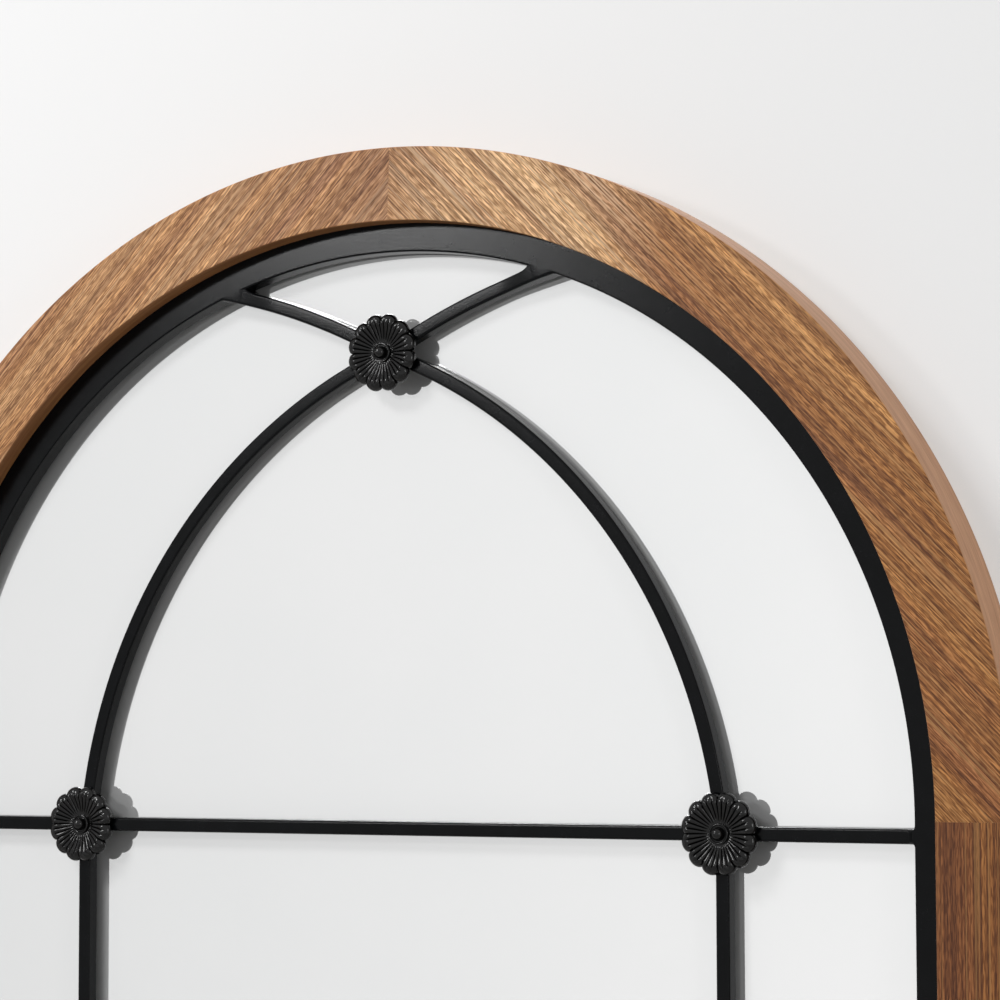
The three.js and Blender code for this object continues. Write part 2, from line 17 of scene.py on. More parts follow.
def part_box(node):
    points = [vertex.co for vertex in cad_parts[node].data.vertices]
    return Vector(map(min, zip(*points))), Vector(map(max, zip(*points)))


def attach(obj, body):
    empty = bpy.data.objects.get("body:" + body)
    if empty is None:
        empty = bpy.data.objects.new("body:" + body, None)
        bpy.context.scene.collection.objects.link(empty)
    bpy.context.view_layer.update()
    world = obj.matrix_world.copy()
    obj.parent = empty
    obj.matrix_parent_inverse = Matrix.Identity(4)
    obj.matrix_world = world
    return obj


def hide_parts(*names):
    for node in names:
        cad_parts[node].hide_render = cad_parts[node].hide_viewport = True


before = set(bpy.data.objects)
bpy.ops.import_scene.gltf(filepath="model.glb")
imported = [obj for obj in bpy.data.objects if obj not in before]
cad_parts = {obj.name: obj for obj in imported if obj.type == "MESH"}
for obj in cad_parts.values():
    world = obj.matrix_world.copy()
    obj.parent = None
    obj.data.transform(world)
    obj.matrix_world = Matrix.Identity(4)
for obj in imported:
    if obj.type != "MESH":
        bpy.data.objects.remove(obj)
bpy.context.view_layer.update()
print("pieces in the working model:", len(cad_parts))

# %% [markdown]
# ## Reading the sizes
# A finished surface has to lie exactly where the working piece lies. Typing the sizes again would
# be quick, but they could drift apart. Reading them from the boxes of the working pieces keeps one
# source, so only what a box can't say, such as the radius of a bend, is written down here.

# %% Sizes of the window
MM = 0.001
GAP = 0.3 * MM  # left between pieces that touch in the working model
HAIR = 0.01 * MM  # half of a glued joint

arch_low, arch_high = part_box("frame_arch_left")
leg_low, leg_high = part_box("frame_leg_left")
band_low, band_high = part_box("band_arch")
glass_low, glass_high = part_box("mirror_glass")
board_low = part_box("backing_board")[0]
bar_low, bar_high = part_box("cross_bar_upper")

ARCH_RADIUS = -arch_low.x
SPRING_Z = arch_high.z - ARCH_RADIUS
BOTTOM_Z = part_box("frame_bottom_rail")[0].z
FACE_Y = arch_low.y
FACE_WIDTH = leg_high.x - leg_low.x
PANE_INSET = ARCH_RADIUS + band_low.x - GAP
BOARD_INSET = ARCH_RADIUS + board_low.x - GAP
OPENING_RADIUS = bar_high.x + GAP
OPENING_INSET = ARCH_RADIUS - OPENING_RADIUS
BAND_FRONT, BAND_BACK = band_low.y, band_high.y
BAR_FRONT = bar_low.y
BAR_WIDTH = bar_high.z - bar_low.z
LIP_BACK = BAND_FRONT - GAP
SHELF_Y = glass_high.y
print("outside radius, face, opening radius (mm):",
      [round(v / MM, 1) for v in (ARCH_RADIUS, FACE_WIDTH, OPENING_RADIUS)])

# %% [markdown]
# ## Sweeping a section along a line
# Frames, hoops and bars all have one section carried along a line. Blender could do that with a
# curve and a bevel object, but then a mitred corner and an end that fits a round hoop are hard to
# get exact. A small function that lays the section at each station of the line, and joins the
# stations with faces, is short and gives full control of the ends.

# %% Rounding the corners of a section
def rounded(corners, radii, steps=4):
    """A closed section with each corner replaced by an arc of its own radius."""
    points = []
    for i, corner in enumerate(corners):
        here = Vector(corner)
        before = (Vector(corners[i - 1]) - here).normalized()
        after = (Vector(corners[(i + 1) % len(corners)]) - here).normalized()
        radius = radii[i]
        if radius == 0:
            points.append(tuple(here))
            continue
        half_angle = before.angle(after) / 2
        reach = radius / math.tan(half_angle)
        centre = here + (before + after).normalized() * (radius / math.sin(half_angle))
        first = here + before * reach - centre
        last = here + after * reach - centre
        sweep = first.angle_signed(last)
        for k in range(steps + 1):
            turn = Matrix.Rotation(-sweep * k / steps, 2)
            points.append(tuple(centre + turn @ first))
    return points


print("points of a rounded square:", len(rounded([(0, 0), (1, 0), (1, 1), (0, 1)], [0.1] * 4)))


# %% Building a mesh from stations
def smooth(obj, angle=35):
    """Smooth shading, with edges sharper than that angle kept crisp."""
    obj.data.shade_smooth()
    obj.data.set_sharp_from_angle(angle=math.radians(angle))
    weighted = obj.modifiers.new("weighted normals", "WEIGHTED_NORMAL")
    weighted.keep_sharp = True
    return obj


def new_object(name, bm):
    """An object from a bmesh, with all its faces pointing outwards."""
    bmesh.ops.recalc_face_normals(bm, faces=bm.faces)
    mesh = bpy.data.meshes.new(name)
    bm.to_mesh(mesh)
    bm.free()
    obj = bpy.data.objects.new(name, mesh)
    bpy.context.collection.objects.link(obj)
    return obj


def loft(name, stations, closed=False):
    """A skin over sections that all have as many points. The side of a face is its section's edge."""
    bm = bmesh.new()
    run = bm.loops.layers.uv.new("run")
    rings = [[bm.verts.new(p) for p in station] for station in stations]
    count = len(rings[0])
    around = [0.0]
    for k in range(count):
        edge = Vector(stations[0][(k + 1) % count]) - Vector(stations[0][k])
        around.append(around[-1] + edge.length)
    along = 0.0
    pairs = list(zip(rings, rings[1:] + rings[:1] if closed else rings[1:]))
    for lower, upper in pairs:
        step = sum((b.co - a.co).length for a, b in zip(lower, upper)) / count
        for k in range(count):
            nxt = (k + 1) % count
            face = bm.faces.new((lower[k], lower[nxt], upper[nxt], upper[k]))
            corners = ((along, k), (along, k + 1), (along + step, k + 1), (along + step, k))
            for loop, (u, v) in zip(face.loops, corners):
                loop[run].uv = (u, around[v])
        along += step
    if not closed:
        bm.faces.new(rings[0][::-1])
        bm.faces.new(rings[-1])
    return new_object(name, bm)


# %% Putting a piece in its place
def dress(obj, material, node, body="root", angle=35):
    """Gives a piece its finish and shading, and lets it stand for a working piece."""
    obj.data.materials.append(material)
    smooth(obj, angle)
    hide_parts(node)
    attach(obj, body)
    print(obj.name, "faces:", len(obj.data.polygons))
    return obj


def centre_of(node):
    """The middle of a working piece, in X and Z."""
    low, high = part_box(node)
    return (low.x + high.x) / 2, (low.z + high.z) / 2


print("middle of the top rosette (mm):", [round(v / MM, 1) for v in centre_of("rosette_top")])

# %% [markdown]
# ## Nodes for a finish
# Each finish is a small graph of nodes round one Principled shader. Wiring it node by node is
# possible, but the sense of it is soon lost. The helpers below make a node with its settings, a
# colour ramp or a noise in one line each, so that a finish reads as a recipe.

# %% Colours and graphs
def colour(text):
    """A colour as it is seen on a screen, such as "8a5d3b", as the linear numbers of a node."""
    parts = [int(text[i:i + 2], 16) / 255 for i in (0, 2, 4)]
    return (*[p / 12.92 if p <= 0.04045 else ((p + 0.055) / 1.055) ** 2.4 for p in parts], 1)


print("mid grey as a node counts it:", round(colour("808080")[0], 3))


class Graph:
    """The nodes of a material or of the world."""

    def __init__(self, tree):
        self.nodes = tree.nodes
        self.links = tree.links

    def feed(self, socket, value):
        """Sets a socket to a number, or links it to another node's output."""
        if isinstance(value, bpy.types.NodeSocket):
            self.links.new(value, socket)
        else:
            socket.default_value = value

    def node(self, kind, inputs=(), **settings):
        """A node with its settings. An input is a number or another node's output."""
        node = self.nodes.new("ShaderNode" + kind)
        for name, value in settings.items():
            setattr(node, name, value)
        for socket, value in dict(inputs).items():
            self.feed(node.inputs[socket], value)
        return node

    def larger(self, first, second):
        """The larger of two numbers."""
        return self.node("Math", {0: first, 1: second}, operation="MAXIMUM").outputs["Value"]

    def ranged(self, value, start, end, low=0.0, high=1.0):
        """The value, carried over from start and end to low and high."""
        inputs = {"Value": value, "From Min": start, "From Max": end, "To Min": low, "To Max": high}
        return self.node("MapRange", inputs).outputs["Result"]

    def looked_at(self):
        """1 for what the camera, metal and glass see, and 0 for the rays that only carry light."""
        path = self.node("LightPath").outputs
        mirrored = self.larger(path["Is Glossy Ray"], path["Is Transmission Ray"])
        return self.larger(path["Is Camera Ray"], mirrored)


# %% Finishes
class Finish(Graph):
    """A material with its node tree and the shader at its end."""

    def __init__(self, name, **shader):
        self.material = bpy.data.materials.new(name)
        self.material.use_nodes = True
        super().__init__(self.material.node_tree)
        self.shader = self.nodes["Principled BSDF"]
        for socket, value in shader.items():
            self.shader.inputs[socket.replace("_", " ")].default_value = value

    def place(self):
        """Where a point of the surface lies, in metres."""
        return self.node("TexCoord").outputs["Object"]

    def mapped(self, place, scale=(1, 1, 1), turn=0, shift=0):
        """The place, turned about Y by some degrees, moved along X and stretched."""
        inputs = {"Vector": place, "Scale": scale, "Rotation": (0, math.radians(turn), 0),
                  "Location": (shift, 0, 0)}
        return self.node("Mapping", inputs).outputs["Vector"]

    def ramp(self, factor, stops):
        """Colours or greys laid along a factor."""
        node = self.node("ValToRGB", {"Fac": factor})
        elements = node.color_ramp.elements
        while len(elements) < len(stops):
            elements.new(0.5)
        for element, (place, value) in zip(elements, stops):
            element.position = place
            if isinstance(value, str):
                value = colour(value)
            elif isinstance(value, float):
                value = (value, value, value)
            element.color = (*value[:3], 1)
        return node.outputs["Color"]

    def contrast(self, factor, dark, light):
        """What to multiply by: 1 at the middle of a noise, and dark or light towards its ends."""
        return self.ramp(factor, [(0.36, dark), (0.5, 1.0), (0.64, light)])

    def mix(self, factor, first, second, blend="MIX"):
        """One colour over another."""
        inputs = {0: factor, 6: first, 7: second}
        return self.node("Mix", inputs, data_type="RGBA", blend_type=blend).outputs[2]

    def multiply(self, first, second):
        """Two colours multiplied."""
        return self.mix(1.0, first, second, "MULTIPLY")

    def noise(self, place, scale=1.0, detail=4.0, roughness=0.55):
        """Cloudy noise at that many cells to the metre."""
        inputs = {"Vector": place, "Scale": scale, "Detail": detail, "Roughness": roughness}
        return self.node("TexNoise", inputs).outputs["Fac"]

    def bump(self, height, distance, strength):
        """Makes the surface look raised by up to that distance."""
        node = self.node("Bump", {"Height": height, "Distance": distance, "Strength": strength})
        self.links.new(node.outputs["Normal"], self.shader.inputs["Normal"])

    def drive(self, socket, value):
        """Links an output to one of the shader's sockets."""
        self.links.new(value, self.shader.inputs[socket])

    def cover(self, tone, grain, roughness, depth, strength=0.5):
        """Colours the shader, and takes its roughness and its bump from one grain."""
        self.drive("Base Color", tone)
        self.drive("Roughness", self.ramp(grain, roughness))
        self.bump(grain, depth, strength)
        return self.material


# %% [markdown]
# ## Wood
# The face of the frame is a stained, open-grained veneer. Its grain is straight: on each half of
# the arch it lies along that quarter's own diagonal, so the two halves mirror each other at the
# top, and on the legs it is upright. A wave texture would give lines too, but they come out too
# even. Noise stretched along one direction is nearer: wide bands of tone first, then streaks, thin
# lines, short fibres and a few pale threads, each multiplied over the one before.
#
# Two sheets of veneer are never quite alike, and stain takes more strongly in some places, so each
# Each piece is also multiplied by tints that change from left to right. A pale band just right of the top
# of the arch is a painted sheen. The darker tints further right and on the legs and rail are partly the
# wood's own tone and partly painted shade, and the left quarter darkens towards the top joint.
# The outer and inner edges carry a smooth edge band instead, whose grain follows the curve. It is
# laid along the length of the section, which `loft` stored as the map called "run".

# %% Veneer
# Cells of noise to the metre, along the grain and across it
BANDS, STREAKS, LINES = (1.3, 30), (2, 270), (4, 1900)
FIBRES, THREADS = (260, 2800), (6, 1500)
INTO_WOOD = 20  # cells to the metre through the sheet


def veneer(name, slope, shift, tones_and_light):
    """Stained veneer whose grain rises by that many degrees from left to right.

    The places from left to right each come with what the stain's colour is multiplied by: partly the
    wood's own tone, partly painted sheen and painted shade.
    """
    finish = Finish(name, Specular_IOR_Level=0.32)
    place = finish.place()
    turned = finish.mapped(place, turn=slope, shift=shift)

    def grain(cells, detail=0.0, roughness=0.55):
        along, across = cells
        return finish.noise(finish.mapped(turned, (along, INTO_WOOD, across)), 1.0, detail, roughness)

    lines, fibres = grain(LINES), grain(FIBRES)
    stained = finish.ramp(grain(BANDS, 2.0, 0.5), [(0.38, "8f5f40"), (0.5, "a37246"), (0.62, "ae8157")])
    for part, dark, light in (
        (grain(STREAKS, 2.0, 0.6), (0.8, 0.77, 0.74), (1.18, 1.22, 1.25)),
        (lines, (0.64, 0.57, 0.5), (1.36, 1.43, 1.5)),
        (fibres, (0.62, 0.55, 0.48), (1.34, 1.42, 1.5)),
    ):
        stained = finish.multiply(stained, finish.contrast(part, dark, light))
    threads = finish.ramp(grain(THREADS), [(0.62, 0.0), (0.74, 0.5)])
    stained = finish.mix(threads, stained, colour("cfa67c"))
    sideways = finish.node("SeparateXYZ", {"Vector": place}).outputs["X"]
    # Painted light: these tints from left to right add painted sheen and painted shade to the wood's own
    # tone.
    stops = [((x + ARCH_RADIUS) / (2 * ARCH_RADIUS), tone_and_light) for x, tone_and_light in tones_and_light]
    tone_and_light = finish.ramp(finish.ranged(sideways, -ARCH_RADIUS, ARCH_RADIUS), stops)
    finish.drive("Base Color", finish.multiply(stained, tone_and_light))
    finish.drive("Roughness", finish.ramp(fibres, [(0.4, 0.62), (0.6, 0.45)]))
    finish.bump(lines, 0.1 * MM, 0.4)
    print(name, "grain at", slope, "degrees")
    return finish.material


# %% Edge band and bare wood
EDGE_STREAKS, EDGE_PORES = (9, 260, 1), (70, 1500, 1)  # cells to the metre along the band and across
BARE_STREAKS, BARE_PORES = (12, 160, 260), (90, 900, 1300)  # along the grain, into it and across


def edge_band(name, pale, dark):
    """Smooth veneer on an edge, with its grain along the length of the section."""
    finish = Finish(name, Specular_IOR_Level=0.4)
    run = finish.node("UVMap", uv_map="run").outputs["UV"]
    streaks = finish.noise(finish.mapped(run, EDGE_STREAKS), 1.0, 3.0, 0.5)
    pores = finish.noise(finish.mapped(run, EDGE_PORES), 1.0, 2.0, 0.5)
    tone = finish.multiply(finish.ramp(streaks, [(0.35, dark), (0.65, pale)]),
                           finish.ramp(pores, [(0.3, 0.85), (0.6, 1.05)]))
    return finish.cover(tone, pores, [(0.3, 0.5), (0.7, 0.38)], 0.05 * MM, 0.4)


def bare_wood(name, turn):
    """Unstained wood of the back and of the rebates, with a faint straight grain."""
    finish = Finish(name, Specular_IOR_Level=0.3)
    turned = finish.mapped(finish.place(), turn=turn)
    streaks = finish.noise(finish.mapped(turned, BARE_STREAKS))
    pores = finish.noise(finish.mapped(turned, BARE_PORES), detail=3.0)
    tone = finish.multiply(finish.ramp(streaks, [(0.3, "a98560"), (0.7, "c9a67c")]),
                           finish.ramp(pores, [(0.35, 0.8), (0.6, 1.05)]))
    return finish.cover(tone, pores, [(0.3, 0.8), (0.7, 0.66)], 0.08 * MM)


print("pores of an edge band are", round(1 / EDGE_PORES[1] / MM, 1), "mm across")

# %% [markdown]
# ## Black metal
# The hoop and the bars are painted steel: satin black, with the faint orange peel of sprayed
# paint. The castings have a glossier black. A flat black with a fixed roughness would look like
# plastic, because both paints are almost colourless and all of their look is in the gloss. So the
# roughness varies over the surface, over a very shallow bump.

# %% Paint on steel
CLOUDS, ORANGE_PEEL = 120, 1500  # cells to the metre


def black_paint(name, tone, shine, roughness, peel):
    """Sprayed paint. Its roughness runs between two values, and peel is how deep its texture is."""
    finish = Finish(name, Specular_IOR_Level=shine)
    place = finish.place()
    clouds = finish.ramp(finish.noise(place, CLOUDS), [(0.3, tone[0]), (0.7, tone[1])])
    orange_peel = finish.noise(place, ORANGE_PEEL, 2.0, 0.5)
    return finish.cover(clouds, orange_peel, [(0.3, roughness[0]), (0.7, roughness[1])], peel, 0.6)


satin_black = black_paint("satin_black", ("050607", "0a0b0d"), 0.11, (0.17, 0.24), 0.05 * MM)
gloss_black = black_paint("gloss_black", ("030303", "070707"), 0.3, (0.08, 0.12), 0.01 * MM)
print("paints:", satin_black.name, gloss_black.name)

# %% [markdown]
# ## Mirror, board, zinc and rubber
# The pane is silvered glass. A perfect mirror would be a metal with no roughness at all, but in a
# bright room a real one also shows a little milky haze, so a small share of the shader is pale and
# diffuse. The rest are the plain shop materials of the back: pressed board, zinc plate and rubber.
# Their colour, gloss and bump come from noise at the size of a fibre, a crystal or a grain.

# %% The mirror pane
def mirror_glass():
    finish = Finish("silvered_glass", Metallic=0.7, Roughness=0.0, Specular_IOR_Level=0.2)
    haze = finish.noise(finish.place(), 5, 3.0)
    finish.drive("Base Color", finish.ramp(haze, [(0.3, "f8f9f9"), (0.7, "fcfcfc")]))
    print("mirror haze:", round(1 - finish.shader.inputs["Metallic"].default_value, 2))
    return finish.material


# %% The back's materials
def pressed_board():
    finish = Finish("pressed_board", Specular_IOR_Level=0.3)
    place = finish.place()
    flakes = finish.node("TexVoronoi", {"Vector": place, "Scale": 420.0}).outputs["Distance"]
    fibre = finish.noise(place, 700, 5.0, 0.7)
    tone = finish.ramp(finish.noise(place, 5, 3.0), [(0.3, "84613f"), (0.7, "8f6b46")])
    finish.drive("Base Color", finish.multiply(tone, finish.ramp(fibre, [(0.35, 0.72), (0.65, 1.15)])))
    finish.drive("Roughness", finish.ramp(flakes, [(0.0, 0.62), (0.6, 0.8)]))
    finish.bump(fibre, 0.1 * MM, 0.5)
    return finish.material


def zinc_plate():
    finish = Finish("zinc_plate", Metallic=1.0)
    place = finish.place()
    spangle = finish.node("TexVoronoi", {"Vector": place, "Scale": 260.0}).outputs["Color"]
    tone = finish.ramp(spangle, [(0.2, "b3b6b8"), (0.8, "cfd2d3")])
    scratches = finish.noise(place, 1500, 2.0)
    return finish.cover(tone, scratches, [(0.3, 0.28), (0.7, 0.42)], 0.02 * MM, 0.4)


def soft_rubber():
    finish = Finish("soft_rubber", Specular_IOR_Level=0.35)
    grain = finish.noise(finish.place(), 1800, 3.0)
    tone = finish.ramp(grain, [(0.3, "232324"), (0.7, "333334")])
    return finish.cover(tone, grain, [(0.3, 0.7), (0.7, 0.88)], 0.04 * MM)


zinc = zinc_plate()
rubber = soft_rubber()
board = pressed_board()
beech = bare_wood("beech_dowel", 90)
print("finishes of the back:", [finish.name for finish in (zinc, rubber, board, beech)])

# %% [markdown]
# ## The wooden frame
# On the real mirror the frame is five pieces: two quarters of the arch that meet at the top, two
# legs and a bottom rail with mitred corners. All have the same section, an outer block with a lip
# in front that hides the edge of the metal, and steps behind it for the pane and the board. The
# section is drawn once, from the outside inwards, and carried along each piece's own line. The
# long edges are eased by about a millimetre, as sanding leaves them.

# %% The section of the wood
section_corners = [
    (0, FACE_Y),
    (FACE_WIDTH, FACE_Y),
    (FACE_WIDTH, LIP_BACK),
    (PANE_INSET, LIP_BACK),
    (PANE_INSET, SHELF_Y),
    (BOARD_INSET, SHELF_Y),
    (BOARD_INSET, 0),
    (0, 0),
]
EASED = [0.8 * MM, 0.6 * MM, 0.3 * MM, 0, 0, 0, 0.3 * MM, 0.7 * MM]
wood_section = rounded(section_corners, EASED)
print("points of the wood's section:", len(wood_section))

# %% The finish of each side of the wood
FACE_SLOT, OUTER_SLOT, INNER_SLOT, BACK_SLOT = range(4)


def wood_side(face):
    """Which finish a face of the wood has, told by where its middle lies and how it faces."""
    middle, normal = face.center, face.normal
    if normal.y < -0.7:
        return FACE_SLOT if middle.y < FACE_Y + MM else BACK_SLOT
    if normal.y > 0.7:
        return BACK_SLOT
    if inside(middle.x, middle.z, ARCH_RADIUS, BOTTOM_Z) < BOARD_INSET / 2:
        return OUTER_SLOT
    return INNER_SLOT if middle.y < LIP_BACK else BACK_SLOT


def inside(x, z, radius, floor_z):
    """How far a place lies inside an arched outline of that radius that stands on that floor."""
    if z > SPRING_Z:
        return radius - math.hypot(x, z - SPRING_Z)
    return min(radius - abs(x), z - floor_z)


print("the glass's edge lies inside the wood by (mm):",
      round(inside(glass_low.x, SPRING_Z, ARCH_RADIUS, BOTTOM_Z) / MM, 1))

# %% Lines that the section follows
ARCH_STEPS = 96


def arch_stations(section, radius, start, end, steps=ARCH_STEPS):
    """Sections along an arc of the arch, between two angles in degrees. Each goes inwards."""
    stations = []
    for i in range(steps + 1):
        angle = math.radians(start + (end - start) * i / steps)
        inward = Vector((-math.cos(angle), 0, -math.sin(angle)))
        middle = Vector((0, 0, SPRING_Z))
        stations.append([middle - inward * (radius - inset) + Vector((0, y, 0))
                         for inset, y in section])
    return stations


def square_to_joint(stations, gap):
    """Moves the ends of a quarter off the top and spring lines by the gap of the joint."""
    for station in (stations[0], stations[-1]):
        for point in station:
            if abs(point.x) < gap:
                point.x = math.copysign(gap, stations[len(stations) // 2][0].x)
            point.z = max(point.z, SPRING_Z + gap)
    return stations


# %% Finishes of the wood
# The warm and deep tints darken the right of the arch, the legs and the rail. They are partly the wood's
# own tone and partly painted shade.
PAINTED_SHEEN, PLAIN = (1.26, 1.52, 1.84), (0.92, 0.92, 0.9)
WARM_AND_SHADED, DEEP_AND_SHADED = (0.82, 0.71, 0.5), (0.6, 0.48, 0.3)
LEG_TONE_AND_SHADE = ((-ARCH_RADIUS, DEEP_AND_SHADED), (ARCH_RADIUS, DEEP_AND_SHADED))
left_tints = ((-0.04, PLAIN), (0.0, (0.72, 0.67, 0.66)))
# Painted sheen: the pale band just right of the top of the arch stands in for the lamp's gloss on the
# wood.
right_tone_and_sheen = ((0.01, (0.84, 0.86, 0.9)), (0.05, PAINTED_SHEEN), (0.11, PAINTED_SHEEN), (0.15, WARM_AND_SHADED))
wood_finishes = {
    "arch_left": veneer("veneer_arch_left", 45, 0.3, left_tints),
    "arch_right": veneer("veneer_arch_right", -45, 0.3, right_tone_and_sheen),
    "leg_left": veneer("veneer_leg_left", 90, -0.9, LEG_TONE_AND_SHADE),
    "leg_right": veneer("veneer_leg_right", 90, 0.9, LEG_TONE_AND_SHADE),
    "rail": veneer("veneer_rail", 0, 1.7, LEG_TONE_AND_SHADE),
}
outer_band = edge_band("edge_band_outer", "cb966b", "b88257")
inner_band = edge_band("edge_band_inner", "94653e", "784f2f")
bare = {slope: bare_wood("bare_wood_%d" % (slope % 180), slope) for slope in (-45, 45, 90, 0)}


def dress_wood(obj, face_finish, back_finish, node):
    """Gives a wooden piece its four finishes and puts it in its place."""
    dress(obj, face_finish, node)
    for material in (outer_band, inner_band, back_finish):
        obj.data.materials.append(material)
    for polygon in obj.data.polygons:
        polygon.material_index = wood_side(polygon)


# %% Quarters of the arch
VENEER_SEAM = 9.4 * MM  # the two sheets meet this far to the right of the glued joint
for side, word, angles in ((-1, "left", (180, 90)), (1, "right", (0, 90))):
    stations = arch_stations(wood_section, ARCH_RADIUS, *angles)
    quarter = loft("arch_quarter_" + word, square_to_joint(stations, HAIR))
    dress_wood(quarter, wood_finishes["arch_" + word], bare[-side * 45], "frame_arch_" + word)
    if word == "right":
        quarter.data.materials.append(wood_finishes["arch_left"])
        for polygon in quarter.data.polygons:
            if polygon.material_index == FACE_SLOT and 0 < polygon.center.x < VENEER_SEAM:
                polygon.material_index = len(quarter.data.materials) - 1
print("stations of a quarter:", len(stations))

# %% [markdown]
# ## Legs and rail
# The bottom corners are mitred, as on a picture frame. Two long pieces could be cut at a slant with
# a boolean, but a mitre is only a last station that is turned by half of the corner: its points go
# inwards by the same inset along X and along Z.

# %% Legs and rail
MITRE_GAP = HAIR * math.sqrt(2)
LEG_STEPS = 12


def leg_stations(side):
    """Sections down a leg, from the spring line to the mitre."""
    top = SPRING_Z - HAIR
    foot = BOTTOM_Z + MITRE_GAP
    return [[Vector((side * (ARCH_RADIUS - inset), y, top + (foot + inset - top) * i / LEG_STEPS))
             for inset, y in wood_section] for i in range(LEG_STEPS + 1)]


def rail_stations():
    """Sections along the rail, from mitre to mitre."""
    shares = [2 * i / LEG_STEPS - 1 for i in range(LEG_STEPS + 1)]
    return [[Vector((share * (ARCH_RADIUS - inset - MITRE_GAP), y, BOTTOM_Z + inset))
             for inset, y in wood_section] for share in shares]


for side, word in ((-1, "left"), (1, "right")):
    leg = loft("leg_" + word, leg_stations(side))
    dress_wood(leg, wood_finishes["leg_" + word], bare[90], "frame_leg_" + word)
rail = loft("bottom_rail", rail_stations())
dress_wood(rail, wood_finishes["rail"], bare[0], "frame_bottom_rail")

# %% [markdown]
# ## The black hoop
# Inside the wood stands a hoop of flat steel that closes on a sill. The lip of the wood covers
# its outer edge. A torus cut in half with two boxes would need joining. The same sweep as the wood
# makes it in one piece, on a line up a leg, round the arch and down the other leg.

# %% Hoop and sill
sill_low, sill_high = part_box("band_sill")
sill_top = sill_high.z
HOOP_EDGE, HIDDEN_EDGE = 0.9 * MM, 0.3 * MM
HOOP_EDGES = [HIDDEN_EDGE, HOOP_EDGE, HIDDEN_EDGE, HIDDEN_EDGE]


def flat_steel(outside, inside):
    """The section of the flat steel between two places across it."""
    corners = [(outside, BAND_FRONT), (inside, BAND_FRONT), (inside, BAND_BACK), (outside, BAND_BACK)]
    return rounded(corners, HOOP_EDGES)


hoop_section = flat_steel(PANE_INSET + GAP, OPENING_INSET)
hoop_stations = arch_stations(hoop_section, ARCH_RADIUS, 0, 180, 2 * ARCH_STEPS)
down = Vector((0, 0, band_low.z - SPRING_Z))
foot_right, foot_left = [[point + down for point in hoop_stations[end]] for end in (0, -1)]
hoop_stations = [foot_right] + hoop_stations + [foot_left]
dress(loft("metal_hoop", hoop_stations), satin_black, "band_arch")
sill_stations = [[Vector((x, y, z)) for z, y in flat_steel(sill_low.z, sill_top)]
                 for x in (sill_low.x, 0, sill_high.x)]
dress(loft("metal_sill", sill_stations), satin_black, "band_sill")

# %% [markdown]
# ## The bars
# Straight and bent bars divide the pane. Their front edges are rounded, so each carries a thin line
# of light. A curve object with a bevel would do for their middles, but not for their ends: where a
# bar is welded to the hoop, its sides swell into a small fillet, its front rises to the front of the
# hoop, and the weld fills the hoop's rounded edge. So each station of a bar has a width on either
# side and a front of its own, all told by how far that side is from the hoop.
# Weld runs further into a sharp corner than into an open one, so the fillet also follows how much
# that side of the bar leans towards the hoop.

# %% A bar along a line
BAR_EDGE = 1.3 * MM
BACK_EDGE = 0.2 * MM
hoop_middle = Vector((0, SPRING_Z))


def room_left(point):
    """How far a point inside the opening still is from the hoop or the sill."""
    return inside(point.x, point.y, OPENING_RADIUS, sill_top)


def to_hoop(point):
    """The direction from a point inside the opening to the nearest side of the hoop or the sill."""
    if point.y > SPRING_Z:
        return (point - hoop_middle).normalized()
    if OPENING_RADIUS - abs(point.x) < point.y - sill_top:
        return Vector((math.copysign(1, point.x), 0))
    return Vector((0, -1))


def fillet(distance, radius):
    """How much wider a bar is at that distance from what it is welded to."""
    if distance >= radius:
        return 0.0
    return radius - math.sqrt(radius ** 2 - (radius - max(distance, 0)) ** 2)


crossing = Vector(centre_of("rosette_top"))
print("room left above the crossing of the bent bars (mm):", round(room_left(crossing) / MM, 1))


# %% The section of a bar
def ease(value):
    """A share from 0 to 1 that starts and ends gently."""
    value = max(0.0, min(1.0, value))
    return value * value * (3 - 2 * value)


def section_of_bar(left, right, front):
    """The bar's section across its line, with rounded front edges."""
    corners = [(-left, front), (right, front), (right, BAND_BACK), (-left, BAND_BACK)]
    return rounded(corners, [BAR_EDGE, BAR_EDGE, BACK_EDGE, BACK_EDGE], 5)


def up_to_hoop(point):
    """The point, or the nearest one that goes no deeper into the hoop than its rounded edge."""
    limit = OPENING_RADIUS + HOOP_EDGE
    if point.y <= SPRING_Z:
        return Vector((max(-limit, min(limit, point.x)), max(point.y, sill_top - HOOP_EDGE)))
    out = point - hoop_middle
    return hoop_middle + out * min(1.0, limit / out.length)


def bar_along(name, line, weld, ramp, node):
    """A bar along a line of points in X and Z, welded wherever it comes near the hoop."""
    stations = []
    for i, point in enumerate(line):
        ahead = line[min(i + 1, len(line) - 1)] - line[max(i - 1, 0)]
        across = Vector((-ahead.y, ahead.x)).normalized()
        halves = []
        for side in (-1, 1):
            edge = point + across * side * BAR_WIDTH / 2
            lean = (across * side).dot(to_hoop(edge))
            halves.append(BAR_WIDTH / 2 + fillet(room_left(edge), weld * (1 + lean)))
        rise = (BAR_FRONT - BAND_FRONT) * ease(1 - room_left(point) / ramp)
        station = []
        for side, y in section_of_bar(*halves, BAR_FRONT - rise):
            place = up_to_hoop(point + across * side)
            station.append(Vector((place.x, y, place.y)))
        stations.append(station)
    return dress(loft(name, stations), satin_black, node)


# %% Straight bars
WELD = 1.2 * MM
WELD_RAMP = 4 * MM
END_STEPS = [0, 0.9, 1.0, 1.15, 1.35, 1.6, 1.9, 2.3, 2.9, 3.6, 4.3, 5, 7]
upper_z = (bar_low.z + bar_high.z) / 2
lower_z = centre_of("cross_bar_lower")[1]


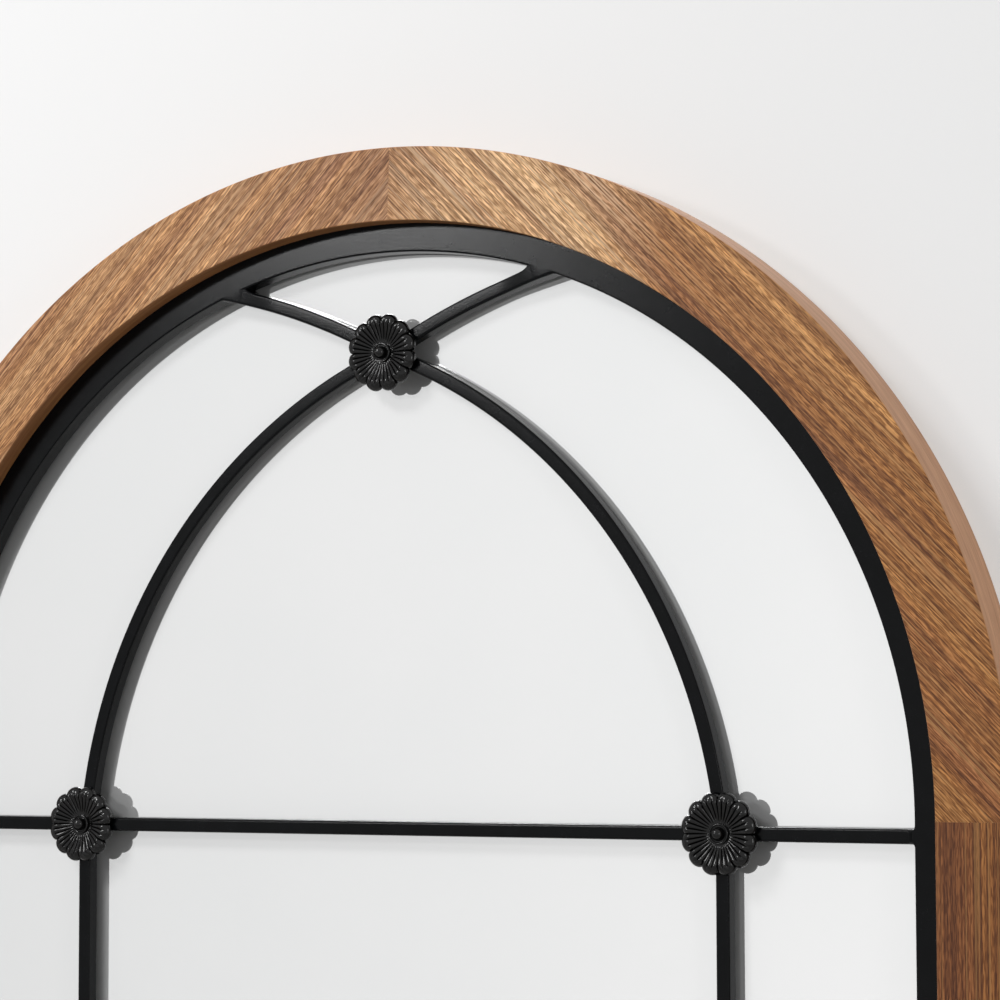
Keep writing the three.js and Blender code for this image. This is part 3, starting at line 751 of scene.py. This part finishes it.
def straight_line(start, end):
    """Points from start to end, close together near the ends."""
    length = (end - start).length
    near = [step * MM for step in END_STEPS]
    places = near + [length / 2] + [length - place for place in reversed(near)]
    return [start.lerp(end, place / length) for place in places]


for name, z, node in (("upper_bar", upper_z, "cross_bar_upper"),
                      ("lower_bar", lower_z, "cross_bar_lower")):
    reach = OPENING_RADIUS + HOOP_EDGE
    line = straight_line(Vector((-reach, z)), Vector((reach, z)))
    bar_along(name, line, WELD, WELD_RAMP, node)
for word in ("left", "right"):
    side_x = centre_of("vertical_bar_" + word)[0]
    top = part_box("vertical_bar_" + word)[1].z
    line = straight_line(Vector((side_x, sill_top - HOOP_EDGE)), Vector((side_x, top)))
    bar_along("upright_" + word, line, WELD, WELD_RAMP, "vertical_bar_" + word)

# %% Bent bars
LOWER_BEND, UPPER_BEND = 259 * MM, 343 * MM  # radii below and above the crossing
ARC_END_SIDE = 90.5 * MM  # where a bent bar reaches the hoop, measured from the middle
ARC_WELD = 2.4 * MM
ARC_RAMP = 14 * MM
PAST_HOOP = 1.3  # how much further than the hoop the line runs, so that both sides reach it
arc_foot = upper_z + BAR_WIDTH / 2 + GAP
arc_end = Vector((ARC_END_SIDE, SPRING_Z + math.sqrt(OPENING_RADIUS ** 2 - ARC_END_SIDE ** 2)))


def arc_line(start, end, radius, steps):
    """Points on the circle of that radius through two points, which bulges to the left."""
    chord = end - start
    middle = (start + end) / 2
    rise = math.sqrt(radius ** 2 - chord.length_squared / 4)
    centre = middle + Vector((chord.y, -chord.x)).normalized() * rise
    first = math.atan2(start.y - centre.y, start.x - centre.x)
    sweep = 2 * math.asin(chord.length / (2 * radius))
    angles = [first - sweep * i / steps for i in range(steps + 1)]
    return [centre + radius * Vector((math.cos(a), math.sin(a))) for a in angles]


def bent_bar_line():
    """From the upper cross bar over the crossing to the hoop, for the bar that starts at the left."""
    beyond = crossing.lerp(arc_end, PAST_HOOP)
    lower = arc_line(Vector((-side_x, upper_z)), crossing, LOWER_BEND, 60)
    upper = arc_line(crossing, beyond, UPPER_BEND, 240)
    line = [p for p in lower if p.y > arc_foot] + upper[1:]
    return [p for p in line if room_left(p) > -BAR_WIDTH]


line = bent_bar_line()
for word, side in (("left", 1), ("right", -1)):
    mirrored = [Vector((side * p.x, p.y)) for p in line]
    bar_along("bent_bar_" + word, mirrored, ARC_WELD, ARC_RAMP, "arc_bar_" + word)
print("bent bar stations:", len(line))

# %% [markdown]
# ## The rosettes
# At each crossing sits a cast flower of twelve petals. Each petal has three rounded flutes that
# rise out of the dished middle, run over the crest and die out on the smooth tip that rolls back.
# Sculpting one by hand would work once, but five have to be alike, and the pattern is regular. So
# it is a formula of radius and angle over a fine round grid, and the grid is a loft whose rings are
# its stations.

# %% The shape of a rosette
PETALS = 12
FLUTES = 3  # on each petal
ROSETTE_RADIUS = 18.2 * MM
DISH = 2.2 * MM
CREST = 5.0 * MM
EDGE = 1.5 * MM
NOTCH = 2.3 * MM
GROOVE = 0.7 * MM  # how much lower the crest is between two petals
FLUTE_DEPTH = 0.9 * MM
CREST_AT, DISH_AT = 0.76, 0.27  # shares of the radius
ROSETTE_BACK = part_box("rosette_top")[1].y
BACK_SHARE = 0.93  # the flat back is this much smaller than the rim


def petal(angle):
    """0 in the groove between two petals and 1 on the middle of a petal."""
    return abs(math.sin(PETALS * angle / 2))


def rim_radius(angle):
    return ROSETTE_RADIUS - NOTCH * (1 - math.sqrt(petal(angle)))


def flute(angle):
    """A row of broad rounded ridges with narrow valleys between them, from -0.75 to 0.25."""
    return math.sqrt(abs(math.sin(PETALS * FLUTES * angle / 2))) - 0.75


def rosette_height(share, angle):
    """Height of the front above the casting's back, at a share of the rim's radius."""
    crest = CREST - GROOVE * (1 - petal(angle) ** 0.5) * ease((share - 0.3) / 0.35)
    if share < CREST_AT:
        climb = max(0.0, (share - DISH_AT) / (CREST_AT - DISH_AT))
        height = DISH + (crest - DISH) * climb ** 1.5
    else:
        roll = (share - CREST_AT) / (1 - CREST_AT)
        height = EDGE + (crest - EDGE) * math.sqrt(max(0.0, 1 - roll ** 2.2))
    relief = FLUTE_DEPTH * ease((share - 0.25) / 0.2) * ease((0.94 - share) / 0.2)
    return height + relief * flute(angle)


print("height of the crest and of a groove (mm):",
      [round(rosette_height(CREST_AT, math.pi * k / PETALS) / MM, 2) for k in (1, 0)])

# %% One rosette
AROUND = PETALS * FLUTES * 8
ANGLES = [2 * math.pi * i / AROUND for i in range(AROUND)]
FRONT_SHARES = [0.08 + 0.62 * i / 16 for i in range(17)]
FRONT_SHARES += [0.7 + 0.3 * math.sin(math.pi / 2 * i / 14) for i in range(1, 15)]


def rosette(name, x, z, node):
    """A cast flower, as rings from its middle to its rim and one more at its back."""
    def ring_at(share, height):
        return [Vector((x + share * rim_radius(angle) * math.cos(angle), ROSETTE_BACK - height(angle),
                        z + share * rim_radius(angle) * math.sin(angle))) for angle in ANGLES]

    rings = [ring_at(share, lambda angle: rosette_height(share, angle)) for share in FRONT_SHARES]
    rings.append(ring_at(BACK_SHARE, lambda angle: 0))
    return dress(loft(name, rings), gloss_black, node, angle=75)


# %% [markdown]
# ## The knobs
# A round-headed pin goes through each rosette and holds it on the bars. Blender's own spheres and
# cylinders would have to be joined, and would show where. A round piece is made in one go by
# turning a profile, as on a lathe, so the raised ring round the knob is part of the same profile.

# %% Turning a profile on a lathe
def lathe(name, profile, x, z, sides=48):
    """A closed body from a profile of (radius, y) turned about a line along Y."""
    bm = bmesh.new()
    rings = []
    for radius, y in profile:
        if radius == 0:
            rings.append([bm.verts.new((x, y, z))])
            continue
        rings.append([bm.verts.new((x + radius * math.cos(2 * math.pi * i / sides), y,
                                    z + radius * math.sin(2 * math.pi * i / sides)))
                      for i in range(sides)])
    for lower, upper in zip(rings, rings[1:]):
        for i in range(sides):
            nxt = (i + 1) % sides
            if len(lower) == 1:
                bm.faces.new((lower[0], upper[i], upper[nxt]))
            elif len(upper) == 1:
                bm.faces.new((lower[i], upper[0], lower[nxt]))
            else:
                bm.faces.new((lower[i], lower[nxt], upper[nxt], upper[i]))
    return new_object(name, bm)


def dome(radius, top, base, steps=10):
    """The profile of a rounded head from its tip to its rim."""
    return [(radius * math.sin(math.pi / 2 * i / steps),
             base + (top - base) * math.cos(math.pi / 2 * i / steps)) for i in range(steps + 1)]


print("points of a dome:", len(dome(1, 1, 0)))

# %% Rosettes and knobs
KNOB_RADIUS = 3.1 * MM
STUD_RADIUS = 1.6 * MM
KNOB_FOOT = ROSETTE_BACK - DISH - 0.65 * MM
RING_RADIUS, RING_BEAD = 4.1 * MM, 0.5 * MM  # a raised ring round the knob


def half_round(middle, radius, y, steps=8):
    """The profile of a bead: half a circle that stands in front of y, from inside to outside."""
    return [(middle - radius * math.cos(math.pi * i / steps), y - radius * math.sin(math.pi * i / steps))
            for i in range(steps + 1)]


def knob_profile(tip, end):
    """From the tip of the knob, over the ring round it, to the end of its stud."""
    profile = dome(KNOB_RADIUS, tip, KNOB_FOOT)
    profile += half_round(RING_RADIUS, RING_BEAD, KNOB_FOOT)
    rim = RING_RADIUS + RING_BEAD
    return profile + [(rim, ROSETTE_BACK - DISH), (STUD_RADIUS, ROSETTE_BACK - DISH),
                      (STUD_RADIUS, end), (0, end)]


for word in ("top", "upper_left", "upper_right", "lower_left", "lower_right"):
    x, z = centre_of("rosette_" + word)
    rosette("flower_" + word, x, z, "rosette_" + word)
    stud_low, stud_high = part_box("rosette_stud_" + word)
    knob = lathe("knob_" + word, knob_profile(stud_low.y, stud_high.y), x, z)
    dress(knob, gloss_black, "rosette_stud_" + word, angle=50)

# %% [markdown]
# ## The pane, the board and the dowels
# A mirror's silver is on the back of its glass, so a reflection starts a little deeper than the
# glass itself: a 3 mm pane looks 2 mm deep. Real glass with silver behind it is slow to render and
# grainy, so the pane is built as the silver alone, at the depth where the eye sees it. The board
# and the dowels already have their right shape and only take a finish.

# %% The pane
REFRACTION = 1.52
glass_thickness = glass_high.y - glass_low.y
silver_y = glass_low.y + glass_thickness / REFRACTION
pane_radius = ARCH_RADIUS - PANE_INSET - GAP
pane_angles = [math.pi * i / (2 * ARCH_STEPS) for i in range(2 * ARCH_STEPS + 1)]
outline = [(pane_radius * math.cos(angle), SPRING_Z + pane_radius * math.sin(angle))
           for angle in pane_angles]
outline += [(-pane_radius, glass_low.z), (pane_radius, glass_low.z)]
pane = loft("mirror_pane", [[Vector((x, y, z)) for x, z in outline] for y in (silver_y, SHELF_Y)])
dress(pane, mirror_glass(), "mirror_glass")
print("silver behind the front of the glass (mm):", round((silver_y - glass_low.y) / MM, 2))

# %% Finishes for the working pieces that stay
for node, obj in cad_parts.items():
    if node == "backing_board" or node.startswith("dowel_"):
        for material_slot in obj.material_slots:
            material_slot.material = board if node == "backing_board" else beech
        print("keeps its working shape:", node)

# %% [markdown]
# ## Screws
# Pan-head screws hold the board and the hangers. A lathe profile gives the head and the shank. The
# cross for the driver could be left to a bump, but then the head would have no real recess, so it
# is cut by a boolean with two crossed wedges.

# %% Screws
SHANK_RADIUS = 1.5 * MM
HEAD_HEIGHT = 1.8 * MM
POINT_LENGTH = 3 * MM
RECESS = 1.0 * MM
SLOT_LENGTH, SLOT_WIDTH = 3.0 * MM, 0.62 * MM
SLOT_TAPER = 0.55  # how much of its length and width is left at the bottom of the recess


def screw(name, node):
    """A pan-head screw: its point, its shank, its head and the cross in it."""
    low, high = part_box(node)
    x, z = centre_of(node)
    head_radius = (high.x - low.x) / 2
    seat = high.y - HEAD_HEIGHT
    profile = [(0, low.y), (SHANK_RADIUS * 0.5, low.y + 1.6 * MM), (SHANK_RADIUS, low.y + POINT_LENGTH),
               (SHANK_RADIUS, seat), (head_radius, seat)]
    profile += [(head_radius * math.cos(math.pi / 2 * i / 8) ** 0.7,
                 seat + HEAD_HEIGHT * math.sin(math.pi / 2 * i / 8)) for i in range(1, 8)]
    profile.append((0, high.y))
    body = lathe(name, profile, x, z, 32)
    cut_cross(body, x, z, high.y)
    return dress(body, zinc, node, angle=40)


def cut_cross(body, x, z, top):
    """Cuts the cross recess for a driver into a screw's head."""
    bm = bmesh.new()
    for length, width in ((SLOT_LENGTH, SLOT_WIDTH), (SLOT_WIDTH, SLOT_LENGTH)):
        for vert in bmesh.ops.create_cube(bm, size=1)["verts"]:
            deep = vert.co.y < 0
            taper = SLOT_TAPER if deep else 1.0
            vert.co = Vector((x + vert.co.x * length * taper, top + (-RECESS if deep else RECESS),
                              z + vert.co.z * width * taper))
    cutter = new_object("cross_cutter", bm)
    cut = body.modifiers.new("cross", "BOOLEAN")
    cut.object = cutter
    cut.operation = "DIFFERENCE"
    cut.use_self = True
    cut.solver = "EXACT"
    mesh = bpy.data.meshes.new_from_object(body.evaluated_get(bpy.context.evaluated_depsgraph_get()))
    body.modifiers.clear()
    body.data = mesh
    bpy.data.objects.remove(cutter)


for node in sorted(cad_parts):
    if "_screw_" in node:
        screw("pan_head_" + node.replace("_screw", ""), node)

# %% [markdown]
# ## Hangers and bumpers
# A hanger is a steel strap whose upper end is rolled round the straight side of a wire ring. A
# flat strip could be bent with a modifier, but its side view is simpler to draw: a profile in Y
# and Z, as wide as the strap. The ring is a round section carried round a closed line. It swings
# in its strap, so it rides on a body of its own. Rubber pads keep the mirror off the wall below.

# %% Straps
STRAP_THICKNESS = 1.2 * MM
LOOP_TURN = -335  # degrees, from the strap's back round the ring and nearly back to the strap
LOOP_STEPS = 28


def strap_section(low, high):
    """The strap seen from the side: across its foot, up its back and round both sides of the loop."""
    loop = (high.y - low.y) / 2
    axle = Vector((low.y + loop, high.z - loop))
    inner = loop - STRAP_THICKNESS
    points = [(low.y, low.z), (low.y + STRAP_THICKNESS, low.z)]
    points.append((low.y + STRAP_THICKNESS, axle.y))
    angles = [math.pi + math.radians(LOOP_TURN) * i / LOOP_STEPS for i in range(LOOP_STEPS + 1)]
    for radius, way in ((inner, angles[1:]), (loop, angles[::-1])):
        points += [(axle.x + radius * math.cos(angle), axle.y + radius * math.sin(angle)) for angle in way]
    return points


for word in ("left", "right"):
    low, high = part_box("hanger_strap_" + word)
    stations = [[Vector((x, y, z)) for y, z in strap_section(low, high)] for x in (low.x, high.x)]
    body = loft("strap_" + word, stations)
    bevel = body.modifiers.new("eased edges", "BEVEL")
    bevel.width = 0.25 * MM
    bevel.segments = 2
    bevel.limit_method = "ANGLE"
    dress(body, zinc, "hanger_strap_" + word)

# %% The shape of a ring
WIRE_RADIUS = 1.25 * MM
RING_CORNER = 2 * MM
RING_HALF_WIDTH = 7.2 * MM
CORNER_STEPS, BOW_STEPS, WIRE_SIDES = 8, 40, 16
WIRE_ANGLES = [2 * math.pi * k / WIRE_SIDES for k in range(WIRE_SIDES)]


def ring_line(depth):
    """The closed line of the ring, hanging from z = 0 down to that depth."""
    straight = RING_HALF_WIDTH - RING_CORNER
    corner = [math.pi / 2 * i / CORNER_STEPS for i in range(CORNER_STEPS + 1)]
    bow = [math.pi * i / BOW_STEPS for i in range(1, BOW_STEPS)]
    line = [(straight + RING_CORNER * math.cos(angle), RING_CORNER * (math.sin(angle) - 1))
            for angle in corner[::-1]]
    line += [(RING_HALF_WIDTH * math.cos(angle), -RING_CORNER - (depth - RING_CORNER) * math.sin(angle))
             for angle in bow]
    return line + [(-straight - RING_CORNER * math.cos(angle), RING_CORNER * (math.sin(angle) - 1))
                   for angle in corner]


def ring(word):
    """A wire ring, as a round section at each point of its line."""
    low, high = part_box("hanger_ring_" + word)
    x, y = (low.x + high.x) / 2, (low.y + high.y) / 2
    top = high.z - WIRE_RADIUS
    line = [Vector((x + a, top + b)) for a, b in ring_line(top - low.z - WIRE_RADIUS)]
    stations = []
    for i, point in enumerate(line):
        along = (line[(i + 1) % len(line)] - line[i - 1]).normalized()
        outwards = Vector((along.y, -along.x))
        places = [(point + outwards * WIRE_RADIUS * math.cos(angle), y + WIRE_RADIUS * math.sin(angle))
                  for angle in WIRE_ANGLES]
        stations.append([Vector((place.x, depth, place.y)) for place, depth in places])
    wire = loft("ring_" + word, stations, closed=True)
    return dress(wire, zinc, "hanger_ring_" + word, body="ring_" + word, angle=60)


print("points of a ring's line:", len(ring_line(11 * MM)))

# %% Rings and bumpers
PAD_SHOULDER = 0.45  # where the straight side of a pad ends, as a share of its height


def bumper(word):
    """A rubber pad: a short straight side under a dome."""
    low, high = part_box("bumper_" + word)
    radius = (high.x - low.x) / 2
    shoulder = low.y + PAD_SHOULDER * (high.y - low.y)
    profile = [(0, low.y), (radius, low.y)] + dome(radius, high.y, shoulder)[::-1]
    pad = lathe("pad_" + word, profile, *centre_of("bumper_" + word), 40)
    return dress(pad, rubber, "bumper_" + word, angle=50)


for word in ("left", "right"):
    ring(word)
    bumper(word)

# %% [markdown]
# ## Wall, floor and light
# The mirror hangs on a pale wall, lit softly from the upper left, so its frame throws a soft
# shadow to the right. The wall is thin and shows only from its front, so the back of the mirror
# can be looked at too. Strong lamps would turn the wall white, but they would bleach the wood as
# well. So wall, floor and room have a flat pale tone that only the rays of the camera, of gloss and
# of glass see, which keeps the light on the object itself plain.

# %% Wall and floor
WALL_Y = 7.5 * MM
FLOOR_Z = -1.0


def plane(name, centre, width, height, normal):
    """A flat piece of the stage that faces along its normal."""
    bm = bmesh.new()
    bmesh.ops.create_grid(bm, x_segments=1, y_segments=1, size=0.5)
    obj = new_object(name, bm)
    turn = Vector(normal).to_track_quat("Z", "Y").to_matrix().to_4x4()
    obj.matrix_world = Matrix.Translation(centre) @ turn @ Matrix.Diagonal((width, height, 1, 1))
    return obj


def backdrop(name, darker, lighter, flat, share):
    """Matt paint that looks partly a flat tone, and can be looked through from behind."""
    finish = Finish(name, Roughness=0.9, Specular_IOR_Level=0.1)
    clouds = finish.noise(finish.place(), 3, 3.0)
    finish.drive("Base Color", finish.ramp(clouds, [(0.3, darker), (0.7, lighter)]))
    paint = finish.shader.outputs["BSDF"]
    pale = finish.node("Emission", {"Color": colour(flat)}).outputs["Emission"]
    seen = finish.ranged(finish.looked_at(), 0.0, 1.0, 0.0, share)
    front = finish.node("MixShader", {0: seen, 1: paint, 2: pale}).outputs["Shader"]
    behind = finish.node("NewGeometry").outputs["Backfacing"]
    clear = finish.node("BsdfTransparent").outputs["BSDF"]
    whole = finish.node("MixShader", {0: behind, 1: front, 2: clear}).outputs["Shader"]
    finish.links.new(whole, finish.nodes["Material Output"].inputs["Surface"])
    return finish.material


wall = plane("wall", (0, WALL_Y, 0.5), 8, 5, (0, -1, 0))
wall.data.materials.append(backdrop("wall_paint", "eeeeee", "f2f2f2", "eeeeee", 0.5))
wall.visible_shadow = False
floor = plane("floor", (0, 0, FLOOR_Z), 8, 8, (0, 0, 1))
floor.data.materials.append(backdrop("floor_paint", "e4e3e1", "eae9e7", "e8e7e5", 0.6))
print("the mirror's back to the wall (mm):", round(WALL_Y / MM, 1))

# %% Lamps
def lamp(name, place, target, width, height, power):
    """A soft rectangular lamp, with its width level."""
    data = bpy.data.lights.new(name, "AREA")
    data.shape = "RECTANGLE"
    data.size, data.size_y = width, height
    data.energy = power
    obj = bpy.data.objects.new(name, data)
    bpy.context.collection.objects.link(obj)
    obj.location = place
    obj.rotation_mode = "QUATERNION"
    obj.rotation_quaternion = (Vector(target) - Vector(place)).to_track_quat("-Z", "Y")
    print(name, power, "W")


arch_middle = Vector((0, 0, 0.6))
lamp("key_lamp", (-0.8, -1.33, 1.18), arch_middle, 0.3, 0.12, 5.5)
lamp("top_lamp", (-0.55, -1.05, 1.62), arch_middle, 0.42, 0.3, 11)
lamp("fill_lamp", (1.8, -1.0, 0.9), arch_middle, 0.3, 0.7, 4)
lamp("back_lamp", (-1.2, 2.0, 1.6), arch_middle, 1.5, 1.5, 60)

# %% World
DIFFUSE_LEVEL = 0.36  # how strongly the room lights the object
DIM, BRIGHT = 0.7, 0.96  # how pale the room looks to the left and elsewhere
FADE_START, FADE_END = -0.66, -0.34  # of the sideways part of a direction

world = bpy.data.worlds.new("room")
world.use_nodes = True
bpy.context.scene.world = world
room = Graph(world.node_tree)
sideways = room.node("SeparateXYZ", {"Vector": room.node("TexCoord").outputs["Generated"]}).outputs["X"]
paleness = room.ranged(sideways, FADE_START, FADE_END, DIM, BRIGHT)
background = room.nodes["Background"]
background.inputs["Color"].default_value = colour("ffffff")
room.feed(background.inputs["Strength"], room.ranged(room.looked_at(), 0.0, 1.0, DIFFUSE_LEVEL, paleness))
print("nodes of the room:", len(room.nodes))

# %% [markdown]
# ## Camera
# The picture looks up at the top of the mirror from its right, from a little under a metre and a
# half away. A camera could be moved by hand until the picture fits, but the round outline gives
# more: a circle seen aslant is an ellipse, whose shape and place say where the eye was.

# %% Camera
CAMERA_PLACE = Vector((0.73185, -1.2324, 0.63955))
YAW, PITCH, ROLL = -0.5032, 0.0734, -0.0023  # radians
FOCAL_SHARE = 3.1013  # focal length as a share of the picture's width
SENSOR = 36.0

camera_data = bpy.data.cameras.new("camera")
camera_data.sensor_width = SENSOR
camera_data.lens = FOCAL_SHARE * SENSOR
camera = bpy.data.objects.new("camera", camera_data)
bpy.context.collection.objects.link(camera)
aimed = Matrix.Rotation(-YAW, 4, "Z") @ Matrix.Rotation(math.pi / 2 + PITCH, 4, "X")
camera.matrix_world = Matrix.Translation(CAMERA_PLACE) @ aimed @ Matrix.Rotation(ROLL, 4, "Z")
bpy.context.scene.camera = camera
bpy.context.scene.view_settings.view_transform = "Standard"
print("lens (mm):", round(camera_data.lens, 1))
